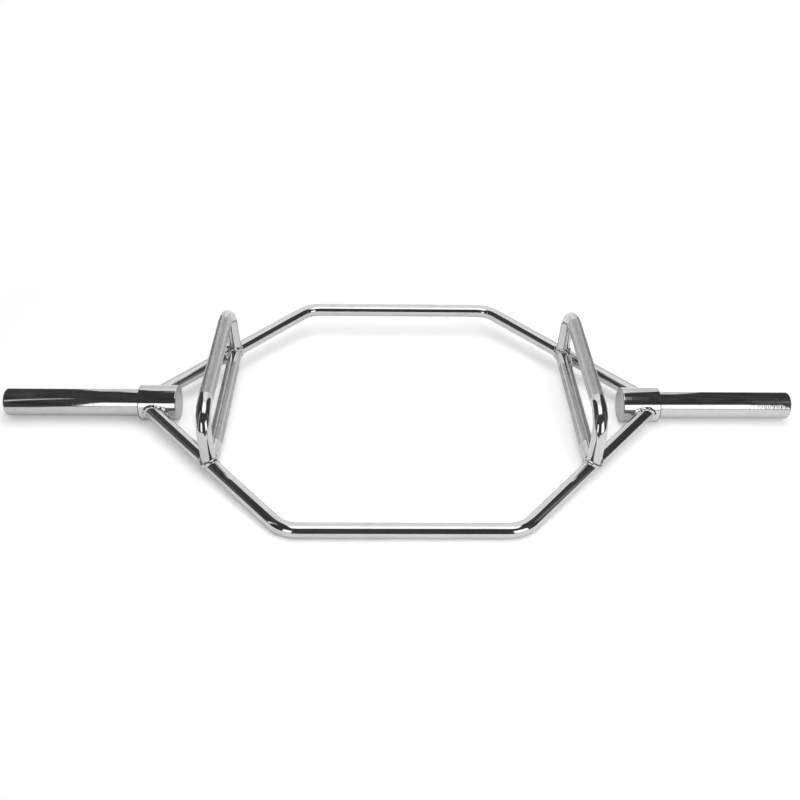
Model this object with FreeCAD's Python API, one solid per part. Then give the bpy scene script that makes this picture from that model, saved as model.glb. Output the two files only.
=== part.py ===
import FreeCAD, Part
import math
import os

# Hexagonal deadlift bar: X runs along the sleeves, Y from front to rear, Z up.
# The origin is on the floor under the middle of the bar, which lies on its two collars.
# Every length is in millimetres.

# Frame
overall_length = 1420.0
frame_depth = 640.0            # front to rear, between the bars' centrelines
straight_length = 372.0        # front or rear run, between the corners of its centreline
bar_diameter = 25.4
corner_bend_radius = 52.0      # on the centreline

# Handles
handle_diameter = 25.0
low_handle_span = 640.0        # between the low handles' axes
low_grip_margin = 53.0         # from the diagonals' centrelines to the knurled length
raised_foot_offset = 2.0       # raised handle's feet, outside the low handle's axis
raised_lean = 2.0              # raised handle's grip, outside its feet
raised_grip_height = 100.0     # grip axis above the frame's middle plane
raised_bend_radius = 45.0      # on the centreline
raised_grip_margin = 5.7       # from the bends to the knurled length
knurl_rise = 0.2               # height of the knurled band above the plain bar

# Collars
handle_to_collar = 81.0        # from a low handle's axis to the collar's closed end
collar_diameter = 63.5
collar_length = 68.0
diagonal_inset = 1.0           # where the diagonals would cross the axis, inside the collar's outer end
collar_wall = 7.0
collar_floor = 10.0            # thickness of the closed end
collar_face_round = 2.0
collar_mouth_round = 0.8
plate_thickness = 12.0         # ring that closes the collar's outer end

# Spindles, on which the sleeves turn
spindle_socket = 5.0           # depth of its seat in the collar's floor
spindle_land = 4.0             # length left outside the circlip
spindle_chamfer = 1.0
groove_depth = 0.7

# Sleeves
sleeve_diameter = 49.0
sleeve_wall = 5.5              # round the bushes
sleeve_gap = 0.4               # slit between collar and sleeve
sleeve_inner_round = 0.6
sleeve_outer_round = 4.0
cap_thickness = 10.0
cap_recess = 0.8
cap_chamfer = 0.8
cap_gap = 6.0                  # from the spindle's end to the cap

# Bearings and what keeps the sleeve on
bush_wall = 4.0
bush_length = 40.0
bush_shoulder = 1.0            # step in the sleeve's bore behind each bush
running_clearance = 0.05       # bush on spindle, on the radius
thrust_washer_thickness = 3.0
thrust_washer_width = 5.0
retaining_washer_thickness = 3.0
washer_clearance = 0.1         # washers on the spindle, on the radius
turning_clearance = 0.6        # between fixed washers and the turning sleeve, on the radius
end_play = 0.2                 # along the axis, at each end of the bushes
circlip_thickness = 1.5
circlip_width = 2.4            # height above the spindle
circlip_gap_angle = 50.0
lug_radius = 2.1
lug_hole_radius = 0.9

# Welds
weld_reach = 4.0               # along the piece that the bar stands on
weld_height = 2.5              # above that piece
weld_start_share = 0.5         # of the bar's radius: how far from a diagonal's axis a handle's bead starts

# Working values
cut_overrun = 10.0
same_place = 0.001
half_share = 0.5

# Places worked out from the sizes above
bar_radius = bar_diameter / 2
handle_radius = handle_diameter / 2
collar_radius = collar_diameter / 2
sleeve_radius = sleeve_diameter / 2
bush_radius = sleeve_radius - sleeve_wall
spindle_radius = bush_radius - bush_wall
axis_height = collar_radius
low_handle_x = low_handle_span / 2
raised_foot_x = low_handle_x + raised_foot_offset
raised_grip_x = raised_foot_x + raised_lean
collar_start = low_handle_x + handle_to_collar
collar_end = collar_start + collar_length
crossing_x = collar_end - diagonal_inset
corner_x = straight_length / 2
corner_y = frame_depth / 2
sleeve_start = collar_end + sleeve_gap
sleeve_end = overall_length / 2
cap_outside = sleeve_end - cap_recess
cap_inside = cap_outside - cap_thickness
spindle_end = cap_inside - cap_gap
circlip_outside = spindle_end - spindle_land
circlip_inside = circlip_outside - circlip_thickness
retainer_inside = circlip_inside - retaining_washer_thickness
outer_bush_end = retainer_inside - end_play
outer_bush_start = outer_bush_end - bush_length
thrust_end = collar_end + thrust_washer_thickness
inner_bush_start = thrust_end + end_play
inner_bush_end = inner_bush_start + bush_length

UP = FreeCAD.Vector(0, 0, 1)
SIDES = {"left": -1, "right": 1}
DEPTHS = {"front": -1, "rear": 1}


def place(x, y, rise=0.0):
    """A point given by its height above the frame's middle plane."""
    return FreeCAD.Vector(x, y, axis_height + rise)


def rod(start, end, radius):
    """A round bar from one point to another."""
    along = end.sub(start)
    return Part.makeCylinder(radius, along.Length, start, along)


def turned(side, outline):
    """A turned piece on the sleeves' axis, from (distance from the middle, radius) points."""
    points = [place(side * x, 0, radius) for x, radius in outline]
    face = Part.Face(Part.makePolygon(points + points[:1]))
    return face.revolve(place(0, 0), FreeCAD.Vector(1, 0, 0), 360)


def ring(side, start, end, inner, outer):
    """A plain turned ring between two distances from the middle."""
    return turned(side, [(start, inner), (end, inner), (end, outer), (start, outer)])


def rims(solid, x, radius):
    """The circular edges of a turned piece at one place and radius."""
    circles = [edge for edge in solid.Edges if isinstance(edge.Curve, Part.Circle)]
    return [edge for edge in circles
            if abs(edge.Curve.Center.x - x) < same_place and abs(edge.Curve.Radius - radius) < same_place]


def bent_bar(corners, bend_radius, radius):
    """A round bar along straight runs whose corners are rounded by tangent arcs."""
    edges = []
    last = corners[0]
    for before, corner, after in zip(corners, corners[1:], corners[2:]):
        back = before.sub(corner).normalize()
        ahead = after.sub(corner).normalize()
        half_angle = back.getAngle(ahead) / 2
        reach = bend_radius / math.tan(half_angle)
        middle = back.add(ahead).normalize()
        depth = bend_radius / math.sin(half_angle) - bend_radius
        arc_start = corner.add(back.multiply(reach))
        arc_end = corner.add(ahead.multiply(reach))
        edges.append(Part.LineSegment(last, arc_start).toShape())
        edges.append(Part.Arc(arc_start, corner.add(middle.multiply(depth)), arc_end).toShape())
        last = arc_end
    edges.append(Part.LineSegment(last, corners[-1]).toShape())
    section = Part.Wire(Part.Circle(corners[0], corners[1].sub(corners[0]), radius).toShape())
    return Part.Wire(edges).makePipeShell([section], True, False)


def diagonal(side, depth):
    """Centreline of one diagonal, from the sleeves' axis to the frame's corner."""
    return place(side * crossing_x, 0), place(side * corner_x, depth * corner_y)


def on_diagonal(side, depth, x):
    """The point of a diagonal's centreline at one distance from the middle."""
    run_share = (crossing_x - x) / (crossing_x - corner_x)
    return place(side * x, depth * run_share * corner_y)


def diagonal_rod(side, depth, radius):
    """One diagonal as a plain rod, for fitting other pieces against it."""
    return rod(*diagonal(side, depth), radius)


def collar_rod(side, radius):
    """One collar as a plain rod, for fitting bars against it."""
    return rod(place(side * (collar_start - cut_overrun), 0), place(side * sleeve_end, 0), radius)


def buried(side, depth):
    """Where a diagonal's bar starts, inside the collar."""
    start, corner = diagonal(side, depth)
    inwards = corner.sub(start)
    return start.add(inwards.multiply(half_share * collar_radius / abs(inwards.y)))


def frame_bar(depth):
    """Front or rear bar, its ends shaped to the collars."""
    corners = [buried(-1, depth), diagonal(-1, depth)[1], diagonal(1, depth)[1], buried(1, depth)]
    bar = bent_bar(corners, corner_bend_radius, bar_radius)
    return bar.cut([collar_rod(side, collar_radius) for side in SIDES.values()])


def low_axis(side):
    """Ends of a low handle's axis, on the two diagonals."""
    return [on_diagonal(side, depth, low_handle_x) for depth in DEPTHS.values()]


def raised_corners(side):
    """Corners of a raised handle's centreline: foot, bend, bend, foot."""
    feet = [on_diagonal(side, depth, raised_foot_x) for depth in DEPTHS.values()]
    tops = [place(side * raised_grip_x, foot.y, raised_grip_height) for foot in feet]
    return [feet[0], tops[0], tops[1], feet[1]]


def raised_legs(side):
    """Centrelines of a raised handle's two legs, from the foot up."""
    corners = raised_corners(side)
    return [(corners[0], corners[1]), (corners[3], corners[2])]


def grip_band(start, end, margin):
    """The knurled stretch between two points, short of each by a margin, a little thicker than the bar."""
    inset = end.sub(start).normalize().multiply(margin)
    return rod(start.add(inset), end.sub(inset), handle_radius + knurl_rise)


def low_handle(side):
    """Straight handle with its grip, its ends shaped to the diagonals."""
    axis = low_axis(side)
    handle = rod(*axis, handle_radius).fuse(grip_band(*axis, low_grip_margin))
    return handle.cut([diagonal_rod(side, depth, bar_radius) for depth in DEPTHS.values()])


def raised_handle(side):
    """U-shaped handle with its grip, its feet shaped to the diagonals and the low handle."""
    corners = raised_corners(side)
    handle = bent_bar(corners, raised_bend_radius, handle_radius)
    handle = handle.fuse(grip_band(corners[1], corners[2], raised_bend_radius + raised_grip_margin))
    seats = [diagonal_rod(side, depth, bar_radius) for depth in DEPTHS.values()]
    return handle.cut(seats + [rod(*low_axis(side), handle_radius)])


def clear_of_axis(seat, towards):
    """The space on one side of a diagonal, a little way from its axis, where a bead may lie."""
    size = frame_depth
    box = Part.makeBox(size, size, size, FreeCAD.Vector(-size / 2, -size / 2, 0))
    start = seat.add(towards * (weld_start_share * bar_radius))
    box.Placement = FreeCAD.Placement(start, FreeCAD.Rotation(UP, towards))
    return box


def bead(bar, host, grown_bar, grown_host):
    """Weld metal in the corner between a bar and what it stands on."""
    return grown_bar.common(grown_host).cut([bar, host])


def collar_welds(side):
    """Beads round the ends of the front and rear diagonals on a collar."""
    beads = []
    for depth in DEPTHS.values():
        run = buried(side, depth), diagonal(side, depth)[1]
        beads.append(bead(rod(*run, bar_radius), collar_rod(side, collar_radius),
                          rod(*run, bar_radius + weld_reach),
                          collar_rod(side, collar_radius + weld_height)))
    return Part.makeCompound(beads)


def low_handle_welds(side):
    """Beads round the two ends of a low handle, open where the raised handle's feet and beads come."""
    axis = low_axis(side)
    handle = rod(*axis, handle_radius)
    grown_handle = rod(*axis, handle_radius + weld_height)
    legs = [rod(*leg, handle_radius + weld_reach) for leg in raised_legs(side)]
    beads = []
    for depth, end in zip(DEPTHS.values(), axis):
        start, corner = diagonal(side, depth)
        inwards = UP.cross(corner.sub(start)).normalize() * (side * depth)
        metal = bead(handle, diagonal_rod(side, depth, bar_radius),
                     grown_handle.common(clear_of_axis(end, inwards)),
                     diagonal_rod(side, depth, bar_radius + weld_reach))
        beads.append(metal.cut(legs))
    return Part.makeCompound(beads)


def raised_handle_welds(side):
    """Beads round the two feet of a raised handle, on top of the diagonals."""
    low_bar = rod(*low_axis(side), handle_radius)
    beads = []
    for depth, leg in zip(DEPTHS.values(), raised_legs(side)):
        metal = bead(rod(*leg, handle_radius), diagonal_rod(side, depth, bar_radius),
                     rod(*leg, handle_radius + weld_reach).common(clear_of_axis(leg[0], UP)),
                     diagonal_rod(side, depth, bar_radius + weld_height))
        beads.append(metal.cut(low_bar))
    return Part.makeCompound(beads)


def collar(side):
    """Cup that carries the frame: closed towards the middle, with a seat for the spindle."""
    bore = collar_radius - collar_wall
    floor = collar_start + collar_floor
    socket = floor - spindle_socket
    cup = turned(side, [(collar_start, 0), (socket, 0), (socket, spindle_radius), (floor, spindle_radius),
                        (floor, bore), (collar_end, bore), (collar_end, collar_radius),
                        (collar_start, collar_radius)])
    cup = cup.makeFillet(collar_face_round, rims(cup, side * collar_start, collar_radius))
    return cup.makeFillet(collar_mouth_round, rims(cup, side * collar_end, collar_radius))


def collar_plate(side):
    """Ring that closes the collar's outer end round the spindle."""
    return ring(side, collar_end - plate_thickness, collar_end, spindle_radius, collar_radius - collar_wall)


def spindle(side):
    """Fixed shaft, with a groove for the circlip near its end."""
    start = collar_start + collar_floor - spindle_socket
    groove = spindle_radius - groove_depth
    return turned(side, [(start, 0), (spindle_end, 0), (spindle_end, spindle_radius - spindle_chamfer),
                         (spindle_end - spindle_chamfer, spindle_radius), (circlip_outside, spindle_radius),
                         (circlip_outside, groove), (circlip_inside, groove),
                         (circlip_inside, spindle_radius), (start, spindle_radius)])


def thrust_washer(side):
    """Bronze washer between the collar and the sleeve's bush."""
    bore = spindle_radius + washer_clearance
    return ring(side, collar_end, thrust_end, bore, bore + thrust_washer_width)


def bush(side, start):
    """Bronze bush pressed into the sleeve, running on the spindle."""
    return ring(side, start, start + bush_length, spindle_radius + running_clearance, bush_radius)


def retaining_washer(side):
    """Steel washer that the outer bush runs against."""
    bore = spindle_radius + washer_clearance
    return ring(side, retainer_inside, circlip_inside, bore, bush_radius - turning_clearance)


def circlip(side):
    """Open spring ring in the spindle's groove, with two drilled lugs beside its gap."""
    inner = spindle_radius - groove_depth
    outer = spindle_radius + circlip_width
    middle = half_share * (inner + outer)
    start = place(side * circlip_inside, 0)
    across = FreeCAD.Vector(side * circlip_thickness, 0, 0)

    def spoke(angle, length):
        """A point on the clip's inner face, at an angle from its top."""
        turn = FreeCAD.Rotation(FreeCAD.Vector(1, 0, 0), angle)
        return start.add(turn.multVec(FreeCAD.Vector(0, 0, length)))

    gap_edge = circlip_gap_angle / 2
    gap_corners = [start, spoke(gap_edge, outer + cut_overrun), spoke(-gap_edge, outer + cut_overrun), start]
    gap = Part.Face(Part.makePolygon(gap_corners)).extrude(across)
    lug_angle = gap_edge + math.degrees(lug_radius / middle)
    centres = [spoke(angle, middle) for angle in (lug_angle, -lug_angle)]
    lugs = [rod(centre, centre.add(across), lug_radius) for centre in centres]
    holes = [rod(centre, centre.add(across), lug_hole_radius) for centre in centres]
    ring_and_lugs = ring(side, circlip_inside, circlip_outside, inner, outer).cut(gap).fuse(lugs)
    return ring_and_lugs.cut(holes + [spindle(side)]).removeSplitter()


def sleeve(side):
    """Plate sleeve: a turned tube with seats for its bushes, the thrust washer and the end cap."""
    pocket = spindle_radius + washer_clearance + thrust_washer_width + turning_clearance
    waist = bush_radius - bush_shoulder
    tube = turned(side, [(sleeve_start, pocket), (inner_bush_start, pocket), (inner_bush_start, bush_radius),
                         (inner_bush_end, bush_radius), (inner_bush_end, waist), (outer_bush_start, waist),
                         (outer_bush_start, bush_radius), (sleeve_end, bush_radius),
                         (sleeve_end, sleeve_radius), (sleeve_start, sleeve_radius)])
    tube = tube.makeFillet(sleeve_inner_round, rims(tube, side * sleeve_start, sleeve_radius))
    return tube.makeFillet(sleeve_outer_round, rims(tube, side * sleeve_end, sleeve_radius))


def end_cap(side):
    """Plug pressed into the sleeve's outer end, a little below its rim."""
    return turned(side, [(cap_inside, 0), (cap_outside, 0), (cap_outside, bush_radius - cap_chamfer),
                         (cap_outside - cap_chamfer, bush_radius), (cap_inside, bush_radius)])


def pieces():
    """Every piece of the bar, by its node's name."""
    made = {f"{name}_frame_bar": frame_bar(depth) for name, depth in DEPTHS.items()}
    for name, side in SIDES.items():
        made[f"{name}_low_handle"] = low_handle(side)
        made[f"{name}_raised_handle"] = raised_handle(side)
        made[f"{name}_collar"] = collar(side)
        made[f"{name}_collar_plate"] = collar_plate(side)
        made[f"{name}_spindle"] = spindle(side)
        made[f"{name}_thrust_washer"] = thrust_washer(side)
        made[f"{name}_inner_bush"] = bush(side, inner_bush_start)
        made[f"{name}_outer_bush"] = bush(side, outer_bush_start)
        made[f"{name}_retaining_washer"] = retaining_washer(side)
        made[f"{name}_circlip"] = circlip(side)
        made[f"{name}_sleeve"] = sleeve(side)
        made[f"{name}_end_cap"] = end_cap(side)
        made[f"{name}_collar_welds"] = collar_welds(side)
        made[f"{name}_low_handle_welds"] = low_handle_welds(side)
        made[f"{name}_raised_handle_welds"] = raised_handle_welds(side)
    return made


os.makedirs("parts", exist_ok=True)
for node, shape in pieces().items():
    shape.exportStep(f"parts/{node}.step")
    print(f"{node}: {len(shape.Solids)} solid(s), {shape.Volume:.0f} mm3, valid {shape.isValid()}")
print(f"sleeves {sleeve_end - sleeve_start:.1f} mm long")
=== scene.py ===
import math

import bmesh
import bpy
from mathutils import Matrix, Vector, noise


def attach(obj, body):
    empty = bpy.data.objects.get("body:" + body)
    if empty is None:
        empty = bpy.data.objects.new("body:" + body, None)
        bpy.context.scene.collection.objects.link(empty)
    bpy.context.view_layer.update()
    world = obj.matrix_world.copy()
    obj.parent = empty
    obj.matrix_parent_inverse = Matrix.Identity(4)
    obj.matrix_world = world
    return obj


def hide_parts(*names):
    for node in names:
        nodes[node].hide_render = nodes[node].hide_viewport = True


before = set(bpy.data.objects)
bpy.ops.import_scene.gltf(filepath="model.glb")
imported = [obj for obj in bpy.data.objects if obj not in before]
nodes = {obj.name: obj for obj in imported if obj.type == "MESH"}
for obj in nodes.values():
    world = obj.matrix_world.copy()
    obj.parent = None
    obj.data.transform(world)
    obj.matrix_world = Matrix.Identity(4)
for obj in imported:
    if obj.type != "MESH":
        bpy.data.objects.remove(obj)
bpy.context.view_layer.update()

# Sizes of the bar that the looks are built on, in metres
BAR_RADIUS = 0.0127
HANDLE_RADIUS = 0.0125
COLLAR_RADIUS = 0.03175
SLEEVE_RADIUS = 0.0245
AXIS_HEIGHT = 0.03175
CROSSING_X = 0.468
CORNER = Vector((0.186, 0.320, 0.0))
LOW_HANDLE_X = 0.320
RAISED_FOOT_X = 0.322
RAISED_GRIP_X = 0.324
RAISED_GRIP_HEIGHT = 0.100
GRIP_LENGTH = 0.2296
SIDES = {"left": -1, "right": 1}
DEPTHS = {"front": -1, "rear": 1}


# Node helpers

def add_node(tree, kind, **values):
    """A node with some of its settings and inputs given by name."""
    made = tree.nodes.new(kind)
    for name, value in values.items():
        if hasattr(made, name):
            setattr(made, name, value)
        else:
            made.inputs[name.replace("_", " ")].default_value = value
    return made


def join(tree, source, target):
    """One link between two sockets."""
    tree.links.new(source, target)


def spread(tree, source, low, high, bottom, top):
    """A value stretched from one range to another."""
    node = tree.nodes.new("ShaderNodeMapRange")
    join(tree, source, node.inputs["Value"])
    for name, value in (("From Min", low), ("From Max", high), ("To Min", bottom), ("To Max", top)):
        node.inputs[name].default_value = value
    return node.outputs["Result"]


def noise_field(tree, where, stretch, scale, detail):
    """Noise over the object, stretched along its own directions."""
    mapping = tree.nodes.new("ShaderNodeMapping")
    mapping.inputs["Scale"].default_value = stretch
    field = add_node(tree, "ShaderNodeTexNoise", Scale=scale, Detail=detail)
    join(tree, where, mapping.inputs["Vector"])
    join(tree, mapping.outputs["Vector"], field.inputs["Vector"])
    return field.outputs["Fac"]


def sum_of(tree, operation, first, second):
    """Two values put together by one operation; either may be a plain number."""
    node = tree.nodes.new("ShaderNodeMath")
    node.operation = operation
    for socket, value in zip(node.inputs, (first, second)):
        if isinstance(value, float):
            socket.default_value = value
        else:
            join(tree, value, socket)
    return node.outputs[0]


def blend(tree, share, first, second):
    """Two colours mixed by a share; the first may be a socket."""
    node = tree.nodes.new("ShaderNodeMix")
    node.data_type = "RGBA"
    join(tree, share, node.inputs["Factor"])
    if isinstance(first, tuple):
        node.inputs["A"].default_value = (*first, 1.0)
    else:
        join(tree, first, node.inputs["A"])
    node.inputs["B"].default_value = (*second, 1.0)
    return node.outputs["Result"]


def mix_shaders(tree, share, first, second):
    """Two shaders mixed by a share that a socket gives."""
    node = tree.nodes.new("ShaderNodeMixShader")
    for source, socket in zip((share, first, second), node.inputs):
        join(tree, source, socket)
    return node.outputs[0]


def along_and_off(tree, where):
    """How far a place lies from the bar's middle along the sleeves' axis, and how far off that axis."""
    axis = add_node(tree, "ShaderNodeMapping", Location=(0.0, 0.0, -AXIS_HEIGHT))
    join(tree, where, axis.inputs["Vector"])
    parts = tree.nodes.new("ShaderNodeSeparateXYZ")
    join(tree, axis.outputs["Vector"], parts.inputs[0])
    flat = add_node(tree, "ShaderNodeVectorMath", operation="MULTIPLY")
    join(tree, axis.outputs["Vector"], flat.inputs[0])
    flat.inputs[1].default_value = (0.0, 1.0, 1.0)
    radius = add_node(tree, "ShaderNodeVectorMath", operation="LENGTH")
    join(tree, flat.outputs["Vector"], radius.inputs[0])
    out = add_node(tree, "ShaderNodeMath", operation="ABSOLUTE")
    join(tree, parts.outputs["X"], out.inputs[0])
    return out.outputs[0], radius.outputs["Value"]


def along_bar(tree, where):
    """How far a place lies along the bar's length, to the right of its middle."""
    parts = tree.nodes.new("ShaderNodeSeparateXYZ")
    join(tree, where, parts.inputs[0])
    return parts.outputs["X"]


# Finishes

EVEN = (1.0, 1.0, 1.0)
CHROME_BRIGHT = (0.66, 0.66, 0.66)
CHROME_DULL = (0.60, 0.60, 0.60)
SMUDGE_SCALE = 38.0
WAVE_SCALE = 22.0
HAZE_SHARES = (0.16, 0.42)
POLISH_SHARES = (0.12, 0.45)
PIT_COLOUR = (0.15, 0.15, 0.15)
PIT_SCALE = 260.0
PIT_SHARES = (0.05, 0.09)

# Rubbed rims of collars and sleeves, by their distance from the middle of the bar
COLLAR_RIMS = (0.4010, 0.4685)
SLEEVE_RIMS = (0.4700, 0.7080)
RIM_REACH = 0.0009
RIM_FADED_DEPTH = 0.0016
RIM_FULL_DEPTH = 0.0006
WORN_COLOUR = (0.50, 0.50, 0.50)
WORN_ROUGHNESS = 0.30
WORN_SCALE = 130.0
WORN_SHARES = (0.47, 0.58)

# Dirt and painted shade in the seam on the sleeve's side, and on the rim of the collar's mouth
SEAM = 0.4690
SEAM_REACH = 0.0017
SEAM_FADE = 0.0005
SEAM_FULL_HEIGHT = 0.0006
SEAM_FADED_HEIGHT = 0.0020
MOUTH_REACH = 0.0012
MOUTH_FADE = 0.0004
MOUTH_FADED_DEPTH = 0.0014
MOUTH_FULL_DEPTH = 0.0007
SEAM_DIRT_AND_SHADE_COLOUR = (0.05, 0.048, 0.045)
SEAM_DIRT_AND_SHADE_ROUGHNESS = 0.5
SEAM_DIRT_AND_SHADE_SCALE = 90.0
SEAM_DIRT_AND_SHADE_SHARES = (0.35, 0.60)
LEAST_SEAM_DIRT_AND_SHADE_SHARE = 0.55

# Face on the collar's closed end, darker as painted shade for the shadowed floor it mirrors
COLLAR_FACE = 0.4012
FACE_FADE = 0.0008
FACE_COLOUR = (0.47, 0.47, 0.47)
FACE_ROUGHNESS = 0.20
FACE_SCALE = 45.0
FACE_SHARES = (0.30, 0.70)
LEAST_FACE_SHARE = 0.7

# Scuffs near the right sleeve's end: where they begin, are full, start to fade and end
SCUFFED = (0.618, 0.662, 0.684, 0.704)
SCUFF_DEPTH = 0.0005
SCUFF_STRETCH = (420.0, 150.0, 150.0)


def rim_wear(tree, where, rims, rim_radius):
    """Rubbed plate in patches along round rims at these distances from the middle of the bar."""
    out, radius = along_and_off(tree, where)
    near = None
    for rim in rims:
        gap = add_node(tree, "ShaderNodeMath", operation="COMPARE")
        join(tree, out, gap.inputs[0])
        gap.inputs[1].default_value = rim
        gap.inputs[2].default_value = RIM_REACH
        near = gap.outputs[0] if near is None else sum_of(tree, "MAXIMUM", near, gap.outputs[0])
    edge = spread(tree, radius, rim_radius - RIM_FADED_DEPTH, rim_radius - RIM_FULL_DEPTH, 0.0, 1.0)
    patches = spread(tree, noise_field(tree, where, EVEN, WORN_SCALE, 2.0), *WORN_SHARES, 0.0, 1.0)
    return sum_of(tree, "MULTIPLY", sum_of(tree, "MULTIPLY", near, edge), patches)


def seam_dirt_and_shade(tree, where):
    """Dirt and painted shade in the seam where a sleeve meets its collar, and on the rim of the collar's
    mouth.
    """
    out, radius = along_and_off(tree, where)
    off = add_node(tree, "ShaderNodeMath", operation="ABSOLUTE")
    join(tree, sum_of(tree, "SUBTRACT", out, SEAM), off.inputs[0])
    off = off.outputs[0]
    inner = sum_of(tree, "MULTIPLY", spread(tree, off, SEAM_REACH, SEAM_REACH + SEAM_FADE, 1.0, 0.0),
                   spread(tree, radius, SLEEVE_RADIUS + SEAM_FULL_HEIGHT, SLEEVE_RADIUS + SEAM_FADED_HEIGHT,
                          1.0, 0.0))
    mouth = sum_of(tree, "MULTIPLY", spread(tree, off, MOUTH_REACH, MOUTH_REACH + MOUTH_FADE, 1.0, 0.0),
                   spread(tree, radius, COLLAR_RADIUS - MOUTH_FADED_DEPTH, COLLAR_RADIUS - MOUTH_FULL_DEPTH,
                          0.0, 1.0))
    patches = noise_field(tree, where, EVEN, SEAM_DIRT_AND_SHADE_SCALE, 2.0)
    patches = spread(tree, patches, *SEAM_DIRT_AND_SHADE_SHARES, LEAST_SEAM_DIRT_AND_SHADE_SHARE, 1.0)
    return sum_of(tree, "MULTIPLY", sum_of(tree, "MAXIMUM", inner, mouth), patches)


def shaded_end_face(tree, where):
    """The closed end of a collar, turned on a lathe and less polished than its side, darker as painted shade
    for the shadowed floor it mirrors.
    """
    out = along_and_off(tree, where)[0]
    face = spread(tree, out, COLLAR_FACE, COLLAR_FACE + FACE_FADE, 1.0, 0.0)
    patches = noise_field(tree, where, EVEN, FACE_SCALE, 2.0)
    return sum_of(tree, "MULTIPLY", face, spread(tree, patches, *FACE_SHARES, LEAST_FACE_SHARE, 1.0))


def scuffs(tree, where):
    """Height of the nicks in the scuffed patch."""
    run = along_bar(tree, where)
    patch = sum_of(tree, "MULTIPLY", spread(tree, run, SCUFFED[0], SCUFFED[1], 0.0, 1.0),
                   spread(tree, run, SCUFFED[2], SCUFFED[3], 1.0, 0.0))
    nicks = sum_of(tree, "SUBTRACT", noise_field(tree, where, SCUFF_STRETCH, 1.0, 2.0), 0.5)
    return sum_of(tree, "MULTIPLY", nicks, patch)


def relief(tree, height, depth, below=None):
    """Bump of this depth, on top of another one where there is one below."""
    bump = add_node(tree, "ShaderNodeBump", Strength=1.0, Distance=depth)
    join(tree, height, bump.inputs["Height"])
    if below is not None:
        join(tree, below, bump.inputs["Normal"])
    return bump.outputs["Normal"]


def plated(name, bright, dull, smooth, rough, stretch, grain_height, wave_height, pit_share=0.0, rims=(),
           rim_radius=0.0, scuffed=False, faced=False):
    """Metal with smudges, uneven polish, draw marks along one direction, a faint wave and worn rims."""
    material = bpy.data.materials.new(name)
    material.use_nodes = True
    tree = material.node_tree
    shader = tree.nodes["Principled BSDF"]
    shader.inputs["Metallic"].default_value = 1.0
    where = tree.nodes.new("ShaderNodeTexCoord").outputs["Object"]

    smudge = noise_field(tree, where, EVEN, SMUDGE_SCALE, 3.0)
    marks = noise_field(tree, where, stretch, 1.0, 4.0)
    haze = sum_of(tree, "MULTIPLY", smudge, marks)
    tone = blend(tree, spread(tree, haze, *HAZE_SHARES, 0.0, 1.0), bright, dull)
    polish = spread(tree, haze, *POLISH_SHARES, smooth, rough)
    if pit_share:
        cells = add_node(tree, "ShaderNodeTexVoronoi", Scale=PIT_SCALE, Randomness=1.0)
        join(tree, where, cells.inputs["Vector"])
        pits = spread(tree, cells.outputs["Distance"], *PIT_SHARES, pit_share, 0.0)
        tone = blend(tree, pits, tone, PIT_COLOUR)
    marked = []
    if rims:
        marked.append((rim_wear(tree, where, rims, rim_radius), WORN_COLOUR, WORN_ROUGHNESS))
        # The dark seam ring is dirt plus painted shade in the gap between sleeve and collar.
        marked.append((seam_dirt_and_shade(tree, where), SEAM_DIRT_AND_SHADE_COLOUR, SEAM_DIRT_AND_SHADE_ROUGHNESS))
    if faced:
        # The darker collar end face is painted shade for the shadowed floor it mirrors.
        marked.append((shaded_end_face(tree, where), FACE_COLOUR, FACE_ROUGHNESS))
    for share, colour, roughness in marked:
        tone = blend(tree, share, tone, colour)
        polish = sum_of(tree, "MAXIMUM", polish, spread(tree, share, 0.0, 1.0, 0.0, roughness))
    join(tree, tone, shader.inputs["Base Color"])
    join(tree, polish, shader.inputs["Roughness"])

    surface = relief(tree, noise_field(tree, where, EVEN, WAVE_SCALE, 1.0), wave_height)
    surface = relief(tree, marks, grain_height, surface)
    if scuffed:
        surface = relief(tree, scuffs(tree, where), SCUFF_DEPTH, surface)
    join(tree, surface, shader.inputs["Normal"])
    return material


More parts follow.
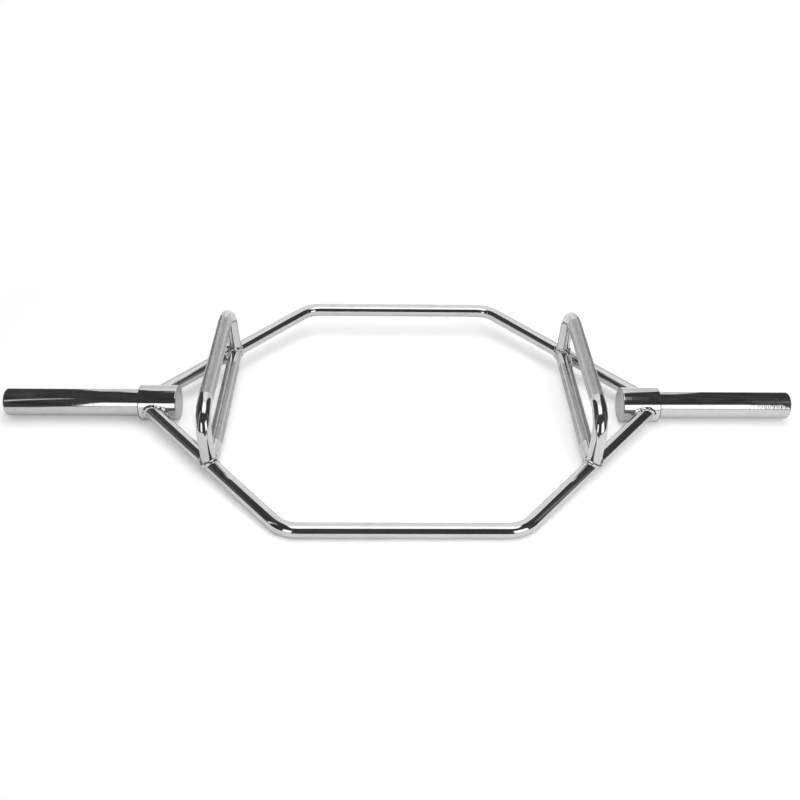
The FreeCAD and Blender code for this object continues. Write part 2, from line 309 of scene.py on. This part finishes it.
FINISH_VALUES = {
    "bar_chrome": dict(bright=CHROME_BRIGHT, dull=CHROME_DULL, smooth=0.03, rough=0.10,
                       stretch=(60.0, 60.0, 240.0), grain_height=0.000004, wave_height=0.00006,
                       pit_share=0.25),
    "handle_chrome": dict(bright=CHROME_BRIGHT, dull=CHROME_DULL, smooth=0.04, rough=0.13,
                          stretch=(240.0, 30.0, 240.0), grain_height=0.000005, wave_height=0.00006,
                          pit_share=0.25),
    "collar_chrome": dict(bright=CHROME_BRIGHT, dull=CHROME_DULL, smooth=0.04, rough=0.12,
                          stretch=(420.0, 40.0, 40.0), grain_height=0.000005, wave_height=0.00005,
                          pit_share=0.25, rims=COLLAR_RIMS, rim_radius=COLLAR_RADIUS, faced=True),
    "sleeve_chrome": dict(bright=CHROME_BRIGHT, dull=CHROME_DULL, smooth=0.04, rough=0.14,
                          stretch=(420.0, 40.0, 40.0), grain_height=0.000006, wave_height=0.00005,
                          pit_share=0.3, rims=SLEEVE_RIMS, rim_radius=SLEEVE_RADIUS, scuffed=True),
    "weld_chrome": dict(bright=CHROME_BRIGHT, dull=(0.54, 0.54, 0.54), smooth=0.06, rough=0.20,
                        stretch=(300.0, 300.0, 300.0), grain_height=0.00002, wave_height=0.0001,
                        pit_share=0.3),
    "knurl_chrome": dict(bright=(0.61, 0.61, 0.61), dull=(0.54, 0.54, 0.54), smooth=0.08, rough=0.16,
                         stretch=(500.0, 120.0, 500.0), grain_height=0.00001, wave_height=0.00005,
                         pit_share=0.1),
    "shaft_steel": dict(bright=(0.46, 0.465, 0.47), dull=(0.36, 0.36, 0.365), smooth=0.20, rough=0.35,
                        stretch=(500.0, 40.0, 40.0), grain_height=0.00001, wave_height=0.00002),
    "spring_steel": dict(bright=(0.20, 0.20, 0.205), dull=(0.13, 0.13, 0.135), smooth=0.28, rough=0.45,
                         stretch=(200.0, 200.0, 200.0), grain_height=0.00001, wave_height=0.00002),
    "bronze": dict(bright=(0.62, 0.43, 0.22), dull=(0.47, 0.31, 0.15), smooth=0.25, rough=0.42,
                   stretch=(500.0, 40.0, 40.0), grain_height=0.00001, wave_height=0.00002),
}
finishes = {name: plated(name, **values) for name, values in FINISH_VALUES.items()}

node_finish = {
    "frame_bar": "bar_chrome", "low_handle": "handle_chrome", "raised_handle": "handle_chrome",
    "collar": "collar_chrome", "collar_plate": "collar_chrome", "sleeve": "sleeve_chrome",
    "end_cap": "sleeve_chrome", "collar_welds": "weld_chrome", "low_handle_welds": "weld_chrome",
    "raised_handle_welds": "weld_chrome", "spindle": "shaft_steel", "retaining_washer": "shaft_steel",
    "circlip": "spring_steel", "thrust_washer": "bronze", "inner_bush": "bronze", "outer_bush": "bronze",
}
for node_name, node in nodes.items():
    node.data.materials.clear()
    node.data.materials.append(finishes[node_finish[node_name.split("_", 1)[1]]])


# Knurled grips

KNURL_COUNT = 48
KNURL_ROWS = 96
VALLEY_RADIUS = 0.01273
KNURL_FLAT = 0.00022
KNURL_HEIGHT = 0.00014
KNURL_FLOOR_SHARE = 0.985


def knurled_grip(name, x, z):
    """A sleeve of raised diamonds over a handle's grip, closed at its ends and underneath."""
    axis = Vector((x, 0.0, z))
    bpy.ops.object.select_all(action="DESELECT")
    bpy.ops.mesh.primitive_cylinder_add(vertices=KNURL_COUNT, radius=VALLEY_RADIUS, depth=GRIP_LENGTH,
                                        end_fill_type="NOTHING", location=axis,
                                        rotation=(math.radians(90), 0.0, 0.0))
    grip = bpy.context.object
    grip.name = grip.data.name = name
    bpy.ops.object.transform_apply(location=True, rotation=True, scale=True)
    bpy.ops.object.mode_set(mode="EDIT")
    bpy.ops.mesh.select_mode(type="EDGE")
    bpy.ops.mesh.select_all(action="DESELECT")
    shape = bmesh.from_edit_mesh(grip.data)
    for edge in shape.edges:
        edge.select = abs(edge.verts[0].co.y - edge.verts[1].co.y) > GRIP_LENGTH / 2
    bmesh.update_edit_mesh(grip.data)
    bpy.ops.mesh.subdivide(number_cuts=KNURL_ROWS - 1)

    # Each square is split to its centre, and its old sides go, which leaves diamonds
    shape = bmesh.from_edit_mesh(grip.data)
    corners = len(shape.verts)
    bpy.ops.mesh.select_all(action="SELECT")
    bpy.ops.mesh.poke()
    bpy.ops.mesh.select_all(action="DESELECT")
    shape = bmesh.from_edit_mesh(grip.data)
    shape.verts.index_update()
    for edge in shape.edges:
        edge.select = len(edge.link_faces) == 2 and all(vert.index < corners for vert in edge.verts)
    bmesh.update_edit_mesh(grip.data)
    bpy.ops.mesh.dissolve_edges(use_verts=False)
    bpy.ops.mesh.select_mode(type="FACE")
    bpy.ops.mesh.select_all(action="DESELECT")
    shape = bmesh.from_edit_mesh(grip.data)
    for face in shape.faces:
        face.select = len(face.verts) == 4
    bmesh.update_edit_mesh(grip.data)
    bpy.ops.mesh.inset(thickness=KNURL_FLAT, depth=KNURL_HEIGHT, use_individual=True, use_boundary=True)

    # The two ends turn in and meet under the diamonds
    bpy.ops.mesh.select_mode(type="EDGE")
    bpy.ops.mesh.select_all(action="DESELECT")
    shape = bmesh.from_edit_mesh(grip.data)
    for edge in shape.edges:
        edge.select = len(edge.link_faces) == 1
    bmesh.update_edit_mesh(grip.data)
    bpy.ops.mesh.extrude_edges_move()
    bpy.ops.transform.resize(value=(KNURL_FLOOR_SHARE, 1.0, KNURL_FLOOR_SHARE), center_override=axis)
    bpy.ops.mesh.bridge_edge_loops()
    bpy.ops.mesh.select_all(action="SELECT")
    bpy.ops.mesh.normals_make_consistent(inside=False)
    bpy.ops.object.mode_set(mode="OBJECT")
    bpy.ops.object.shade_flat()
    grip.data.materials.append(finishes["knurl_chrome"])
    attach(grip, "frame")


for side_name, side in SIDES.items():
    knurled_grip(f"{side_name}_low_knurl", side * LOW_HANDLE_X, AXIS_HEIGHT)
    knurled_grip(f"{side_name}_raised_knurl", side * RAISED_GRIP_X, AXIS_HEIGHT + RAISED_GRIP_HEIGHT)


# Weld beads

BEAD_STEPS = 216
BEAD_ROUND = 14
BEAD_RADIUS = 0.0041
RIPPLE_PITCH = 0.0060
RIPPLE_SWEEP_SHARE = 0.35
RIPPLE_POWER = 0.6
LUMP_SCALE = 210.0
CORE_SHARE = 0.88
RIPPLE_SHARE = 0.09
LUMP_SHARE = 0.22
ACUTE_FILL_SHARE = 0.6
HEIGHT_SHARE = 0.85
LIFT_SHARE = 0.12
WIDTH_SHARE = 1.12
SMOOTH_BELOW = math.radians(50)


def diagonal_line(side, depth):
    """Start and unit direction of one diagonal's centreline, seen from above."""
    start = Vector((side * CROSSING_X, 0.0, 0.0))
    end = Vector((side * CORNER.x, depth * CORNER.y, 0.0))
    return start, (end - start).normalized()


def bead_ring(path):
    """A rippled bead round a joint; path gives the point and the two outward normals at each angle."""
    bpy.ops.object.select_all(action="DESELECT")
    bpy.ops.mesh.primitive_torus_add(major_segments=BEAD_STEPS, minor_segments=BEAD_ROUND,
                                     major_radius=HANDLE_RADIUS, minor_radius=BEAD_RADIUS)
    ring = bpy.context.object
    stations = [path(2 * math.pi * step / BEAD_STEPS) for step in range(BEAD_STEPS)]
    travelled = 0.0
    for step, (point, first, second) in enumerate(stations):
        ahead = stations[(step + 1) % BEAD_STEPS][0]
        behind = stations[step - 1][0]
        along = (ahead - behind).normalized()
        outward = first + second
        outward = (outward - along * outward.dot(along)).normalized()
        across = along.cross(outward)
        lumps = noise.noise(point * LUMP_SCALE)
        fill = max(0.0, -first.dot(second))
        for turn in range(BEAD_ROUND):
            angle = 2 * math.pi * turn / BEAD_ROUND
            phase = math.pi * (travelled / RIPPLE_PITCH + RIPPLE_SWEEP_SHARE * math.cos(angle))
            ripple = abs(math.cos(phase)) ** RIPPLE_POWER
            size = CORE_SHARE + RIPPLE_SHARE * ripple + LUMP_SHARE * lumps + ACUTE_FILL_SHARE * fill
            radius = BEAD_RADIUS * size
            lean = HEIGHT_SHARE * math.cos(angle) + LIFT_SHARE + fill
            offset = outward * (radius * lean) + across * (WIDTH_SHARE * radius * math.sin(angle))
            ring.data.vertices[step * BEAD_ROUND + turn].co = point + offset
        travelled += (ahead - point).length
    ring.data.transform(Matrix.Translation((0.0, 0.0, AXIS_HEIGHT)))
    return ring


def collar_joint(side, depth):
    """Where one diagonal's end meets its collar."""
    start, along = diagonal_line(side, depth)
    level = Vector((-along.y, along.x, 0.0))
    up = Vector((0.0, 0.0, 1.0))

    def path(angle):
        normal = level * math.cos(angle) + up * math.sin(angle)
        point = start + normal * BAR_RADIUS
        reach = depth * math.sqrt(COLLAR_RADIUS ** 2 - point.z ** 2)
        point += along * ((reach - point.y) / along.y)
        return point, normal, Vector((0.0, point.y, point.z)).normalized()
    return path


def low_joint(side, depth):
    """Where one end of a low handle meets its diagonal."""
    start, along = diagonal_line(side, depth)
    level = Vector((-along.y, along.x, 0.0))
    inner = level if level.dot(start) < 0 else -level

    def path(angle):
        normal = Vector((math.cos(angle), 0.0, math.sin(angle)))
        point = Vector((side * LOW_HANDLE_X, 0.0, 0.0)) + normal * HANDLE_RADIUS
        away = math.sqrt(BAR_RADIUS ** 2 - point.z ** 2)
        point.y = (away - (point.x - start.x) * inner.x) / inner.y
        return point, normal, (inner * away + Vector((0.0, 0.0, point.z))).normalized()
    return path


def raised_joint(side, depth):
    """Where one foot of a raised handle meets its diagonal and the low handle's end."""
    start, along = diagonal_line(side, depth)
    level = Vector((-along.y, along.x, 0.0))
    share = (CROSSING_X - RAISED_FOOT_X) / (CROSSING_X - CORNER.x)
    foot = Vector((side * RAISED_FOOT_X, depth * share * CORNER.y, 0.0))

    def path(angle):
        normal = Vector((math.cos(angle), math.sin(angle), 0.0))
        point = foot + normal * HANDLE_RADIUS
        away = (point - start).dot(level)
        height = math.sqrt(BAR_RADIUS ** 2 - away ** 2)
        host = Vector((level.x * away, level.y * away, height)).normalized()
        beside = point.x - side * LOW_HANDLE_X
        if abs(beside) < HANDLE_RADIUS and depth * point.y < depth * foot.y:
            low_top = math.sqrt(HANDLE_RADIUS ** 2 - beside ** 2)
            if low_top > height:
                height = low_top
                host = Vector((beside, 0.0, low_top)).normalized()
        point.z = height
        return point, normal, host
    return path


def beads(name, node_name, joint, side):
    """Both beads of one kind on one side, as one piece that stands for its node."""
    rings = [bead_ring(joint(side, depth)) for depth in DEPTHS.values()]
    bpy.ops.object.select_all(action="DESELECT")
    for ring in rings:
        ring.select_set(True)
    bpy.context.view_layer.objects.active = rings[0]
    bpy.ops.object.join()
    piece = bpy.context.object
    piece.name = piece.data.name = name
    bpy.ops.object.transform_apply(location=True, rotation=True, scale=True)
    bpy.ops.object.mode_set(mode="EDIT")
    bpy.ops.mesh.select_all(action="SELECT")
    bpy.ops.mesh.normals_make_consistent(inside=False)
    bpy.ops.object.mode_set(mode="OBJECT")
    bpy.ops.object.shade_smooth_by_angle(angle=SMOOTH_BELOW)
    piece.data.materials.append(finishes["weld_chrome"])
    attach(piece, "frame")
    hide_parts(node_name)


for side_name, side in SIDES.items():
    beads(f"{side_name}_collar_beads", f"{side_name}_collar_welds", collar_joint, side)
    beads(f"{side_name}_low_handle_beads", f"{side_name}_low_handle_welds", low_joint, side)
    beads(f"{side_name}_raised_handle_beads", f"{side_name}_raised_handle_welds", raised_joint, side)


# Studio

FLOOR_TILT = math.atan2(AXIS_HEIGHT - BAR_RADIUS, CORNER.y)
FLOOR_UP = (0.0, math.sin(FLOOR_TILT), math.cos(FLOOR_TILT))
FLOOR_SIZE = 24.0
FLOOR_GAP = 0.0002
PAPER_COLOUR = (0.90, 0.90, 0.90, 1.0)
BLACK = (0.0, 0.0, 0.0, 1.0)
WHITE = (1.0, 1.0, 1.0, 1.0)
CAMERA_LIFT = 0.28
MIRRORED_SHARE = 0.12
NEAR_SQUEEZE = (0.62, 1.0, 1.0)
NEAR_REACH = 0.46
FAR_REACH = 0.80
AMBIENT = 0.20
BAND_SCALE = 1.6


def ways_seen(tree):
    """Whether the camera sees a place, and whether metal or glass shows it."""
    rays = tree.nodes.new("ShaderNodeLightPath")
    mirrored = sum_of(tree, "MAXIMUM", rays.outputs["Is Glossy Ray"], rays.outputs["Is Transmission Ray"])
    return rays.outputs["Is Camera Ray"], mirrored


def glow(name, half_width, half_height, strength, corner, soft_edge, uneven):
    """Light of one softbox or wall: round at its corners, fading over its edges, in uneven bands."""
    material = bpy.data.materials.new(name)
    material.use_nodes = True
    tree = material.node_tree
    tree.nodes.clear()
    out = tree.nodes.new("ShaderNodeOutputMaterial")
    shader = add_node(tree, "ShaderNodeEmission", Strength=strength)
    place = tree.nodes.new("ShaderNodeTexCoord").outputs["Object"]
    for operation, value in (("ABSOLUTE", None), ("MULTIPLY", (half_width, half_height, 0.0)),
                             ("SUBTRACT", (half_width - corner, half_height - corner, 0.0)),
                             ("MAXIMUM", (0.0, 0.0, 0.0)), ("LENGTH", None)):
        step = tree.nodes.new("ShaderNodeVectorMath")
        step.operation = operation
        join(tree, place, step.inputs[0])
        if value:
            step.inputs[1].default_value = value
        place = step.outputs["Value" if operation == "LENGTH" else "Vector"]
    level = spread(tree, place, corner - soft_edge, corner, 1.0, 0.0)
    if uneven:
        flat = tree.nodes.new("ShaderNodeTexCoord").outputs["Object"]
        bands = noise_field(tree, flat, (0.5 * half_width, 3.0 * half_height, 1.0), BAND_SCALE, 2.0)
        join(tree, spread(tree, bands, 0.25, 0.75, strength * (1.0 - uneven), strength * (1.0 + uneven)),
             shader.inputs["Strength"])
    clear = tree.nodes.new("ShaderNodeBsdfTransparent")
    join(tree, mix_shaders(tree, level, clear.outputs[0], shader.outputs[0]), out.inputs["Surface"])
    return material


def card(name, centre, half_width, half_height, facing, strength, corner, soft_edge, uneven=0.0):
    """A softbox or a dark wall that shows only as a reflection in the metal."""
    bpy.ops.object.select_all(action="DESELECT")
    bpy.ops.mesh.primitive_plane_add(size=2.0, location=centre)
    made = bpy.context.object
    made.name = name
    made.scale = (half_width, half_height, 1.0)
    made.rotation_mode = "QUATERNION"
    made.rotation_quaternion = Vector(facing).to_track_quat("Z", "Y")
    made.data.materials.append(glow(name, half_width, half_height, strength, corner, soft_edge, uneven))
    made.visible_camera = made.visible_diffuse = made.visible_shadow = False


def floor():
    """Pale floor under the collars and the front run, white to the camera and in the metal."""
    bpy.ops.object.select_all(action="DESELECT")
    bpy.ops.mesh.primitive_plane_add(size=FLOOR_SIZE, location=(0.0, 0.0, -FLOOR_GAP),
                                     rotation=(-FLOOR_TILT, 0.0, 0.0))
    made = bpy.context.object
    made.name = "floor"
    material = bpy.data.materials.new("floor_paper")
    material.use_nodes = True
    tree = material.node_tree
    tree.nodes.clear()
    out = tree.nodes.new("ShaderNodeOutputMaterial")
    by_camera, in_metal = ways_seen(tree)

    # Near the bar: paper that takes its shadow, a little lifted
    paper = add_node(tree, "ShaderNodeBsdfDiffuse", Color=PAPER_COLOUR)
    none = add_node(tree, "ShaderNodeBsdfTransparent", Color=BLACK)
    lift = add_node(tree, "ShaderNodeEmission", Strength=CAMERA_LIFT)
    lift_share = sum_of(tree, "MAXIMUM", by_camera, sum_of(tree, "MULTIPLY", in_metal, MIRRORED_SHARE))
    near = tree.nodes.new("ShaderNodeAddShader")
    join(tree, paper.outputs[0], near.inputs[0])
    join(tree, mix_shaders(tree, lift_share, none.outputs[0], lift.outputs[0]), near.inputs[1])

    # Far from it: plain white
    white = add_node(tree, "ShaderNodeEmission", Strength=1.0)
    squeeze = add_node(tree, "ShaderNodeMapping", Scale=NEAR_SQUEEZE)
    join(tree, tree.nodes.new("ShaderNodeTexCoord").outputs["Object"], squeeze.inputs["Vector"])
    away = add_node(tree, "ShaderNodeVectorMath", operation="LENGTH")
    join(tree, squeeze.outputs["Vector"], away.inputs[0])
    far = spread(tree, away.outputs["Value"], NEAR_REACH, FAR_REACH, 0.0, 1.0)
    far_share = sum_of(tree, "MULTIPLY", far, sum_of(tree, "MAXIMUM", by_camera, in_metal))
    join(tree, mix_shaders(tree, far_share, near.outputs[0], white.outputs[0]), out.inputs["Surface"])
    made.data.materials.append(material)


floor()
SOFTBOX = 1.7
DOWN = (0.0, 0.0, -1.0)
LEFT = (-1.0, 0.0, 0.0)
RIGHT = (1.0, 0.0, 0.0)
BACK = (0.0, 1.0, 0.0)
card("overhead_softbox", (0.10, -0.395, 1.70), 0.77, 0.455, DOWN, SOFTBOX, 0.20, 0.07)
card("rear_softbox", (0.0, 0.10, 1.702), 0.52, 0.16, DOWN, SOFTBOX, 0.12, 0.06)
card("front_left_softbox", (-0.90, -1.19, 0.46), 0.40, 0.34, (0.70, 1.22, 0.0), SOFTBOX, 0.05, 0.02)
card("front_right_softbox", (0.90, -1.17, 0.53), 0.40, 0.40, (-0.70, 1.22, 0.0), SOFTBOX, 0.05, 0.02)
card("left_flag", (-0.95, -0.01, 0.85), 1.16, 0.88, RIGHT, 0.06, 0.03, 0.02, 0.7)
card("right_flag", (0.95, 0.31, 0.85), 0.86, 0.88, LEFT, 0.06, 0.03, 0.02, 0.7)
card("left_strip", (-0.945, -0.42, 0.52), 0.06, 0.52, RIGHT, 0.95, 0.05, 0.05)
card("left_low_strip", (-0.946, 0.10, 0.18), 0.45, 0.22, RIGHT, 0.15, 0.15, 0.15)
card("right_strip", (0.945, -0.22, 0.36), 0.14, 0.36, LEFT, 0.22, 0.12, 0.12)
card("left_wall", (-1.37, -0.9, 0.85), 1.2, 0.95, RIGHT, 0.08, 0.02, 0.02, 0.6)
card("right_wall", (1.40, -0.9, 0.85), 1.2, 0.95, LEFT, 0.08, 0.02, 0.02, 0.6)
card("front_wall", (0.0, -2.0, 0.9), 2.4, 1.05, BACK, 0.06, 0.02, 0.02, 0.7)
card("front_ground", (0.0, -1.50, 0.094), 2.4, 0.55, FLOOR_UP, 0.07, 0.02, 0.02, 0.5)
card("front_mat", (0.0, -0.70, 0.047), 0.30, 0.27, FLOOR_UP, 0.08, 0.06, 0.05, 0.5)
card("left_mat", (-0.84, -0.50, 0.035), 0.14, 0.35, FLOOR_UP, 0.08, 0.03, 0.02, 0.5)
card("left_ceiling", (-1.08, -0.57, 1.72), 0.45, 1.55, DOWN, 0.05, 0.02, 0.02, 0.8)
card("right_ceiling", (1.13, -0.57, 1.72), 0.40, 1.55, DOWN, 0.05, 0.02, 0.02, 0.8)
card("front_ceiling", (0.0, -1.50, 1.72), 0.84, 0.66, DOWN, 0.06, 0.02, 0.02, 0.8)
card("rear_ceiling", (0.0, 1.00, 1.72), 0.84, 0.50, DOWN, 1.08, 0.20, 0.15)
card("rear_left_sweep", (-2.2, 3.2, 1.2), 1.5, 1.5, (0.4, -1.0, 0.0), 0.80, 0.5, 0.5)
card("rear_right_sweep", (2.2, 3.2, 1.2), 1.5, 1.5, (-0.4, -1.0, 0.0), 0.80, 0.5, 0.5)


def lamp(name, place, aim, size, power):
    """A soft area lamp that the metal doesn't mirror."""
    data = bpy.data.lights.new(name, "AREA")
    data.shape = "RECTANGLE"
    data.size, data.size_y = size
    data.energy = power
    made = bpy.data.objects.new(name, data)
    bpy.context.scene.collection.objects.link(made)
    made.location = place
    made.rotation_mode = "QUATERNION"
    made.rotation_quaternion = (Vector(aim) - Vector(place)).to_track_quat("-Z", "Y")
    made.visible_glossy = False


lamp("overhead", (0.06, -0.085, 2.2), (0.06, -0.085, 0.0), (1.9, 3.4), 48.0)
lamp("front_right", (1.2, -1.3, 1.0), (0.2, 0.0, 0.0), (0.8, 0.8), 12.0)

world = bpy.data.worlds.new("studio")
bpy.context.scene.world = world
world.use_nodes = True
sky = world.node_tree
sky.nodes.clear()
sky_out = sky.nodes.new("ShaderNodeOutputWorld")
ambient = add_node(sky, "ShaderNodeBackground", Color=WHITE, Strength=AMBIENT)
backdrop = add_node(sky, "ShaderNodeBackground", Color=WHITE, Strength=1.0)
sky_share = sum_of(sky, "MAXIMUM", *ways_seen(sky))
join(sky, mix_shaders(sky, sky_share, ambient.outputs[0], backdrop.outputs[0]), sky_out.inputs["Surface"])


# Camera

VIEW_DISTANCE = 1.650
VIEW_ELEVATION = math.radians(37.79)
VIEW_YAW = math.radians(1.60)
VIEW_ROLL = math.radians(1.26)
FOCAL_PIXELS = 905.26
IMAGE_PIXELS = 800.0
SENSOR_WIDTH = 36.0
TARGET_PIXEL = (400.54, 403.62)

ahead = Vector((math.sin(VIEW_YAW) * math.cos(VIEW_ELEVATION), math.cos(VIEW_YAW) * math.cos(VIEW_ELEVATION),
                -math.sin(VIEW_ELEVATION)))
across = Vector((math.cos(VIEW_YAW), -math.sin(VIEW_YAW), 0.0))
upward = across.cross(ahead)
image_x = across * math.cos(VIEW_ROLL) + upward * math.sin(VIEW_ROLL)
image_y = upward * math.cos(VIEW_ROLL) - across * math.sin(VIEW_ROLL)
place = Vector((0.0, 0.0, AXIS_HEIGHT)) - ahead * VIEW_DISTANCE
camera_data = bpy.data.cameras.new("camera")
camera_data.sensor_width = SENSOR_WIDTH
camera_data.lens = FOCAL_PIXELS / IMAGE_PIXELS * SENSOR_WIDTH
camera_data.shift_x = (IMAGE_PIXELS / 2 - TARGET_PIXEL[0]) / IMAGE_PIXELS
camera_data.shift_y = (TARGET_PIXEL[1] - IMAGE_PIXELS / 2) / IMAGE_PIXELS
camera = bpy.data.objects.new("camera", camera_data)
bpy.context.scene.collection.objects.link(camera)
camera.matrix_world = Matrix((
    (image_x.x, image_y.x, -ahead.x, place.x),
    (image_x.y, image_y.y, -ahead.y, place.y),
    (image_x.z, image_y.z, -ahead.z, place.z),
    (0.0, 0.0, 0.0, 1.0)))
bpy.context.scene.camera = camera
bpy.context.scene.view_settings.view_transform = "Standard"
